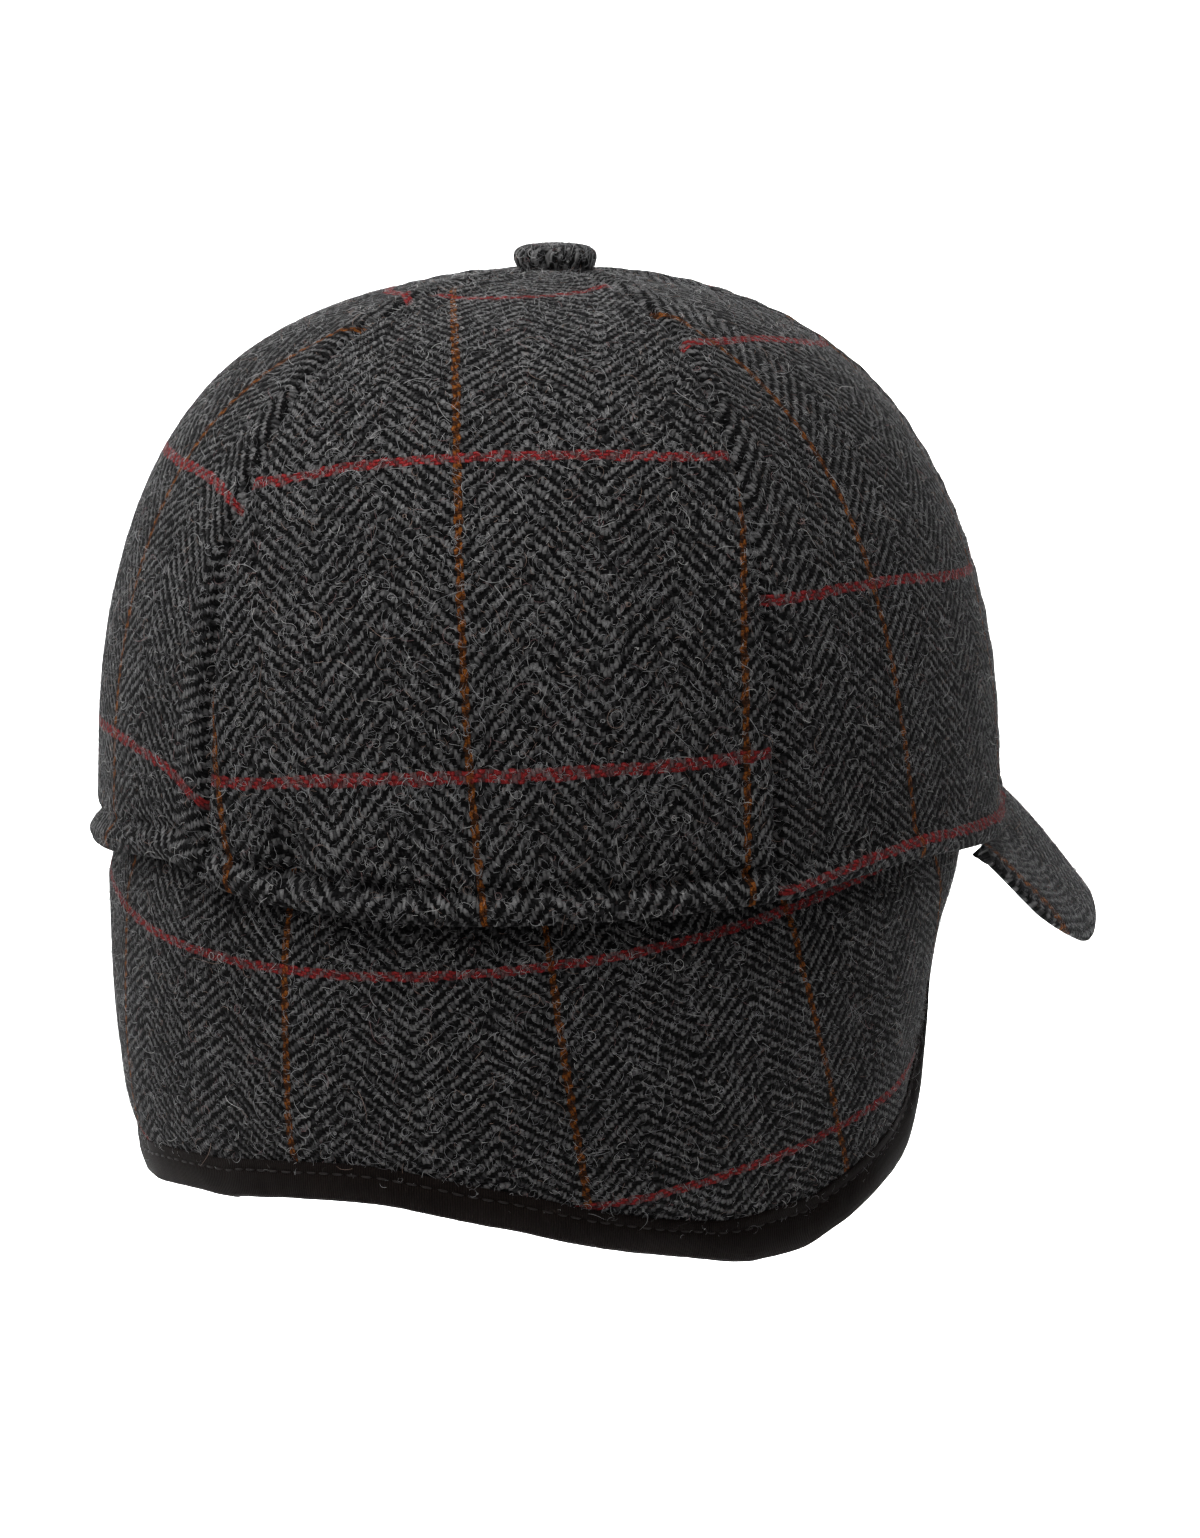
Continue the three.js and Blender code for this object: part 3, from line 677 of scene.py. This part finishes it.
# stitches along the binding, on both faces
def stitches(name, face):
    step, length, wide = 3.1, 2.3, .24
    line, n, _, s, t = tape_rows(4.75, .52, face)
    if face < 0:
        n = -n
    arc = np.concatenate([[0], np.cumsum(np.linalg.norm(np.diff(line, axis=0), axis=1))])
    count = int(arc[-1] / step)
    verts, quads = [], []
    seg, around = 6, 6
    for c in range(count):
        mid = (c + .5) * step + rng.normal(0, .12)
        ts = np.linspace(-.5, .5, seg + 1)
        at = mid + ts * length * rng.uniform(.9, 1.05)
        pos = np.stack([np.interp(at, arc, line[:, x]) for x in range(3)], -1)
        nn = unit(np.stack([np.interp(at, arc, n[:, x]) for x in range(3)], -1))
        tt = unit(np.gradient(pos, axis=0))
        ss = np.cross(nn, tt)
        pos = pos + ss * rng.normal(0, .06) + nn * (.10 - 1.5 * np.abs(ts)[:, None] ** 3)
        rad = wide * np.sqrt(np.clip(1 - (2.0 * np.abs(ts)) ** 4, .12, 1))
        first = len(verts) * 1
        ring = []
        for a in range(around):
            ang = 2 * pi * a / around
            ring.append(pos + (ss * cos(ang) + nn * sin(ang) * .8) * rad[:, None])
        ring = np.stack(ring, 1).reshape(-1, 3)
        base_i = sum(len(v) for v in verts)
        verts.append(ring)
        for y in range(seg):
            for a in range(around):
                quads.append([base_i + y * around + a, base_i + y * around + (a + 1) % around,
                              base_i + (y + 1) * around + (a + 1) % around, base_i + (y + 1) * around + a])
        quads.append([base_i + 0, base_i + 3, base_i + 2, base_i + 1])
        quads.append([base_i + 0, base_i + 5, base_i + 4, base_i + 3])
        e = base_i + seg * around
        quads.append([e + 0, e + 1, e + 2, e + 3])
        quads.append([e + 0, e + 3, e + 4, e + 5])
    ob = make(name, np.concatenate(verts), quads, material=THREAD)
    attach(ob, "root")
    return ob


stitches("binding_stitches_outer", 1)
stitches("binding_stitches_inner", -1)


# ------------------------------------------------------------------- peak --
def peak_form(across, share):
    b = 180 + (180 - PEAK_CORNER) * across
    x, y = outline(b, 1.6)
    tail = 1 - .75 * smooth(.9, .985, np.abs(across))
    reach = PEAK_REACH * (1 - np.abs(across) ** 2.6) ** .55 * tail * share
    wx, wy = PEAK_FAN * across, -np.ones_like(across)
    w = np.hypot(wx, wy)
    fall = np.radians(PEAK_FALL_MIDDLE + (PEAK_FALL_CORNER - PEAK_FALL_MIDDLE) * across ** 2)
    p = np.stack([x + wx / w * reach * np.cos(fall), y + wy / w * reach * np.cos(fall),
                  rim_lift(b) - .7 - reach * np.sin(fall)
                  + PEAK_BULGE * np.sin(pi * share ** .65) * (1 - across ** 2)], -1)
    return p, reach


PC, PR = 120, 40
ac = np.sin(np.linspace(-pi / 2, pi / 2, PC)) * .962
sh = (1 - (1 - np.linspace(0, 1, PR)) ** 1.35)[::-1][:, None] * np.ones((1, PC))
pp, reach = peak_form(np.broadcast_to(ac, sh.shape), sh)
pn = grid_normals(pp)
free = peak_form(np.sin(np.linspace(-pi / 2, pi / 2, 500)) * .962, np.ones(500))[0]
rim_mm = np.stack([np.linalg.norm(pp[r][:, None] - free[None], axis=2).min(1) for r in range(PR)])
rim_mm[0] = 0
half_t = PEAK_BOARD / 2 * np.sqrt(np.clip(1 - (1 - np.clip(rim_mm / 5.5, 0, 1)) ** 2, .0, 1))
lump = .35 * noise(pp, 22, 41) + .06 * noise(pp, 3.1, 42)
mid_s = pp - pn * (PEAK_BOARD / 2)
p_top = mid_s + pn * (half_t + lump * smooth(0, 6, rim_mm))[..., None]
p_bot = mid_s - pn * (half_t)[..., None]
p_uv = np.stack([pp[..., 0] * 1.03 + 20, reach * 1.0 + 14 + .12 * pp[..., 0]], -1)
rows = np.concatenate([p_top[::-1], p_bot[1:]])
uvs = np.concatenate([p_uv[::-1], p_uv[1:]])
k, n_ = rows.shape[:2]
ii, jj = np.meshgrid(np.arange(n_ - 1), np.arange(k))
a_ = jj * n_ + ii
b_ = ((jj + 1) % k) * n_ + ii
quads = np.stack([a_, b_, b_ + 1, a_ + 1], -1).reshape(-1, 4)
capq, ngons = [], []
for col in (0, n_ - 1):
    o = np.arange(PR) * n_ + col
    q = np.concatenate([[PR - 1], np.arange(PR, k)]) * n_ + col
    q = q[::-1]
    cap = np.stack([o[:-1], q[:-1], q[1:], o[1:]], -1)[:-1]
    tri = [o[-2], q[-2], o[-1]]
    capq.append(cap[:, ::-1] if col else cap)
    ngons.append(tri[::-1] if col else tri)
# the peak takes the tweed copy painted lighter, as painted light
peak = make("peak_cloth", rows.reshape(-1, 3), np.concatenate([quads] + capq), uvs.reshape(-1, 2), ngons=ngons, material=TWEED_PAINTED_LIGHTER)
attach(peak, "root"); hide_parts("peak")
pieces["peak"] = peak
skins["peak"] = (p_top[2:], pn[2:])

# ----------------------------------------------------------------- button --
seat = CROWN_HEIGHT + TIP_RISE - .5
BUTTON = [(0, -.6), (6.6, -.6), (7.6, .2), (8.3, 1.1), (8.75, 2.2), (8.95, 3.2), (8.6, 4.3), (7.6, 5.2), (5.8, 5.75),
          (3.4, 5.95), (1.2, 6.0), (0, 6.0)]
bx = np.array(BUTTON)
sl = np.concatenate([[0], np.cumsum(np.hypot(*np.diff(bx, axis=0).T))])
ss = np.linspace(0, sl[-1], 44)
prof = np.stack([np.interp(ss, sl, bx[:, 0]), np.interp(ss, sl, bx[:, 1])], -1)
for _ in range(3):
    prof[1:-1] = (prof[:-2] + 2 * prof[1:-1] + prof[2:]) / 4
SEG = 96
an = np.linspace(0, 2 * pi, SEG, endpoint=False)
body = prof[1:-1]
ring = np.stack([body[:, :1] * np.cos(an), body[:, :1] * np.sin(an), np.repeat(body[:, 1:], SEG, 1)], -1)
gather = .18 * np.sin(an * 13)[None] * smooth(3.5, 0, body[:, 1])[:, None]
bnrm = unit(np.stack([ring[..., 0], ring[..., 1], (ring[..., 2] - 2.5) * 2.2], -1))
ring = ring + bnrm * (gather + .22 * noise(ring, 4.5, 51) + .10 * noise(ring, 1.6, 52))[..., None]
ring[..., 2] += seat
kk = len(body)
ii, jj = np.meshgrid(np.arange(SEG), np.arange(kk - 1))
quads = np.stack([jj * SEG + ii, jj * SEG + (ii + 1) % SEG, (jj + 1) * SEG + (ii + 1) % SEG, (jj + 1) * SEG + ii], -1).reshape(-1, 4)
b_uv = np.stack([ring[..., 0] * 1.05 + ring[..., 1] * .2 + 30, ring[..., 1] * 1.05 - ring[..., 0] * .2 + 30 + (ring[..., 2] - seat) * .35], -1)
# the button takes the tweed copy painted lighter, as painted light
button = make("top_button_cloth", ring.reshape(-1, 3), quads, b_uv.reshape(-1, 2),
              ngons=[np.arange(SEG)[::-1], (kk - 1) * SEG + np.arange(SEG)], material=TWEED_PAINTED_LIGHTER)
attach(button, "root"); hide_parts("top_button")
pieces["top_button"] = button
skins["top_button"] = (ring[6:, :], bnrm[6:, :])


# ----------------------------------------------------------------- fibres --
PALE = np.array([[.55, .55, .55], [.40, .40, .41], [.26, .26, .265], [.75, .74, .72], [.05, .05, .05], [.40, .28, .23], [.34, .20, .20]])
PALE_P = np.array([.22, .26, .22, .08, .14, .05, .03])


def fibres(name, skin, count, seg, length, width, lift, curl, node):
    """Curled flat hairs that root in a skin and lie over it, as one mesh."""
    p, n = skin
    m, c = p.shape[:2]
    area = np.linalg.norm(np.cross(np.diff(p, axis=1)[:-1], np.diff(p, axis=0)[:, :-1]), axis=2)
    pick = rng.choice(area.size, count, p=(area / area.sum()).ravel())
    r, q = pick // (c - 1), pick % (c - 1)
    s, t = rng.random(count)[:, None], rng.random(count)[:, None]
    def at(f):
        return (f[r, q] * (1 - s) * (1 - t) + f[r, q + 1] * s * (1 - t) + f[r + 1, q] * (1 - s) * t + f[r + 1, q + 1] * s * t)
    root, nn = at(p), unit(at(n))
    ref = unit(np.cross(nn, rng.normal(size=(count, 3))))
    side = np.cross(nn, ref)
    L = rng.gamma(5, length / 5, count)
    bend = rng.normal(0, curl, count) + rng.choice([-1, 1], count) * curl * .6
    bend2 = rng.normal(0, curl * .7, count)
    top = np.abs(rng.normal(0, lift, count)) + lift * .25
    x = np.linspace(0, 1, seg + 1)
    ang = rng.uniform(0, 2 * pi, count)[:, None] + bend[:, None] * x + bend2[:, None] * x ** 2
    step = (L / seg)[:, None]
    dx, dy = np.cos(ang) * step, np.sin(ang) * step
    px = np.concatenate([np.zeros((count, 1)), np.cumsum(dx[:, :-1], 1)], 1)
    py = np.concatenate([np.zeros((count, 1)), np.cumsum(dy[:, :-1], 1)], 1)
    hz = top[:, None] * np.sin(pi * np.clip(x * rng.uniform(.55, 1.0, (count, 1)), 0, 1)) - .05
    path = root[:, None] + ref[:, None] * px[..., None] + side[:, None] * py[..., None] + nn[:, None] * hz[..., None]
    tang = unit(np.gradient(path, axis=1))
    flat = unit(np.cross(tang, nn[:, None] + .5 * rng.normal(size=(count, 1, 3))))
    w = width * rng.uniform(.7, 1.3, (count, 1)) * (1 - .75 * x ** 3) / 2
    verts = np.stack([path - flat * w[..., None], path + flat * w[..., None]], 2)
    base = (np.arange(count) * (seg + 1) * 2)[:, None] + (np.arange(seg) * 2)[None]
    quads = np.stack([base, base + 1, base + 3, base + 2], -1).reshape(-1, 4)
    tint = PALE[rng.choice(len(PALE), count, p=PALE_P)] * rng.uniform(.75, 1.15, (count, 1))
    tint = np.repeat(tint, (seg + 1) * 2, 0)
    ob = make(name, verts.reshape(-1, 3), quads, tint=tint, material=HAIR)
    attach(ob, "root")
    return ob


NAP = {"back_panel_right": 12500, "side_panel_right": 9500, "front_panel": 7000, "side_panel_left": 7000,
       "back_panel_left": 10000, "ear_flap": 16000, "peak": 7000, "top_button": 900}
for node, count in NAP.items():
    fibres(node + "_nap", skins[node], count, 3, 1.8, .060, .36, 1.2, node)
    fibres(node + "_curls", skins[node], int(count * .16), 9, 4.2, .070, .75, 4.6, node)

# ---------------------------------------------------------- floor, light --
AZ, EL, FAR, LENS = radians(222.6), radians(10.0), 1.1, 120.0
back = Vector((sin(AZ) * cos(EL), -cos(AZ) * cos(EL), sin(EL)))
right = (-back).cross(Vector((0, 0, 1))).normalized()
above = right.cross(-back)
level = Vector((-back.x, -back.y, 0)).normalized()
scene = bpy.context.scene

# a pale floor that sweeps up into a backdrop
FLOOR, WALL, BEND = -1.7, 2.6, .8
sweep = [(-14.0, FLOOR)] + [(WALL - BEND + BEND * sin(x), FLOOR + BEND * (1 - cos(x))) for x in np.linspace(0, pi / 2, 13)] + [(WALL, 2.4)]
fv_, ff_ = [], []
for d, z in sweep:
    for side in (-14.0, 14.0):
        fv_.append(level * d + right * side + Vector((0, 0, z)))
for x in range(len(sweep) - 1):
    ff_.append((2 * x, 2 * x + 1, 2 * x + 3, 2 * x + 2))
fl = bpy.data.meshes.new("floor")
fl.from_pydata(fv_, [], ff_)
for pg in fl.polygons:
    pg.use_smooth = True
floor = bpy.data.objects.new("floor", fl)
scene.collection.objects.link(floor)
fm = Tree("floor_white")
pl = fm.node("ShaderNodeTexCoord").outputs["Object"]
fm.put(fm.bsdf.inputs["Base Color"], fm.mix(fm.noise(pl, 3.0, 2.0), (.86, .86, .86), (.88, .88, .88)))
fm.bsdf.inputs["Roughness"].default_value = .9
fm.bsdf.inputs["Specular IOR Level"].default_value = .1
# white to the camera from every side; the cap is lit by the lamps alone
fm.bsdf.inputs["Emission Color"].default_value = (1, 1, 1, 1)
fm.put(fm.bsdf.inputs["Emission Strength"], fm.node("ShaderNodeLightPath").outputs["Is Camera Ray"])
fl.materials.append(fm.mat)

world = bpy.data.worlds.new("studio")
scene.world = world
world.use_nodes = True
world.node_tree.nodes["Background"].inputs[0].default_value = (1, 1, 1, 1)
sky = world.node_tree.nodes.new("ShaderNodeMath")
sky.operation = "MULTIPLY_ADD"
sky.inputs[1].default_value, sky.inputs[2].default_value = .865, .135
world.node_tree.links.new(world.node_tree.nodes.new("ShaderNodeLightPath").outputs["Is Camera Ray"], sky.inputs[0])
world.node_tree.links.new(sky.outputs[0], world.node_tree.nodes["Background"].inputs[1])
scene.view_settings.view_transform = "Standard"
scene.view_settings.look = "None"


def lamp(name, energy, place, at, size):
    data = bpy.data.lights.new(name, "AREA")
    data.energy = energy
    data.shape, data.size = "DISK", size
    ob = bpy.data.objects.new(name, data)
    scene.collection.objects.link(ob)
    ob.location = place
    ob.rotation_mode = "QUATERNION"
    ob.rotation_quaternion = (place - at).to_track_quat("Z", "Y")
    return ob


Z = Vector((0, 0, 1))
lamp("overhead", 13.4, Z * 1.25 - level * .35 - right * .25, Vector((0, 0, .05)), 1.1)
lamp("key_left", 3.8, -level * 1.0 - right * 1.1 + Z * .8, Vector((0, 0, .03)), .9)
lamp("edge_left", 5.5, level * .75 - right * 1.25 + Z * .35, Vector((0, 0, .03)), .8)
lamp("edge_right", 1.4, level * .9 + right * 1.2 + Z * .45, Vector((0, 0, .03)), .8)
lamp("backdrop", 190, level * 1.0 + Z * .8, level * 2.3 - Z * .65, 1.4)

cam = bpy.data.objects.new("camera", bpy.data.cameras.new("camera"))
scene.collection.objects.link(cam)
cam.data.lens = LENS
cam.data.sensor_width = 36
f_px = LENS / 36 * 1538
aim = right * ((600 - 556) / f_px * FAR) + above * ((841 - 769) / f_px * FAR)
cam.location = back * FAR
cam.rotation_mode = "QUATERNION"
cam.rotation_quaternion = (cam.location - aim).to_track_quat("Z", "Y")
cam.data.clip_start, cam.data.clip_end = .05, 100
scene.camera = cam
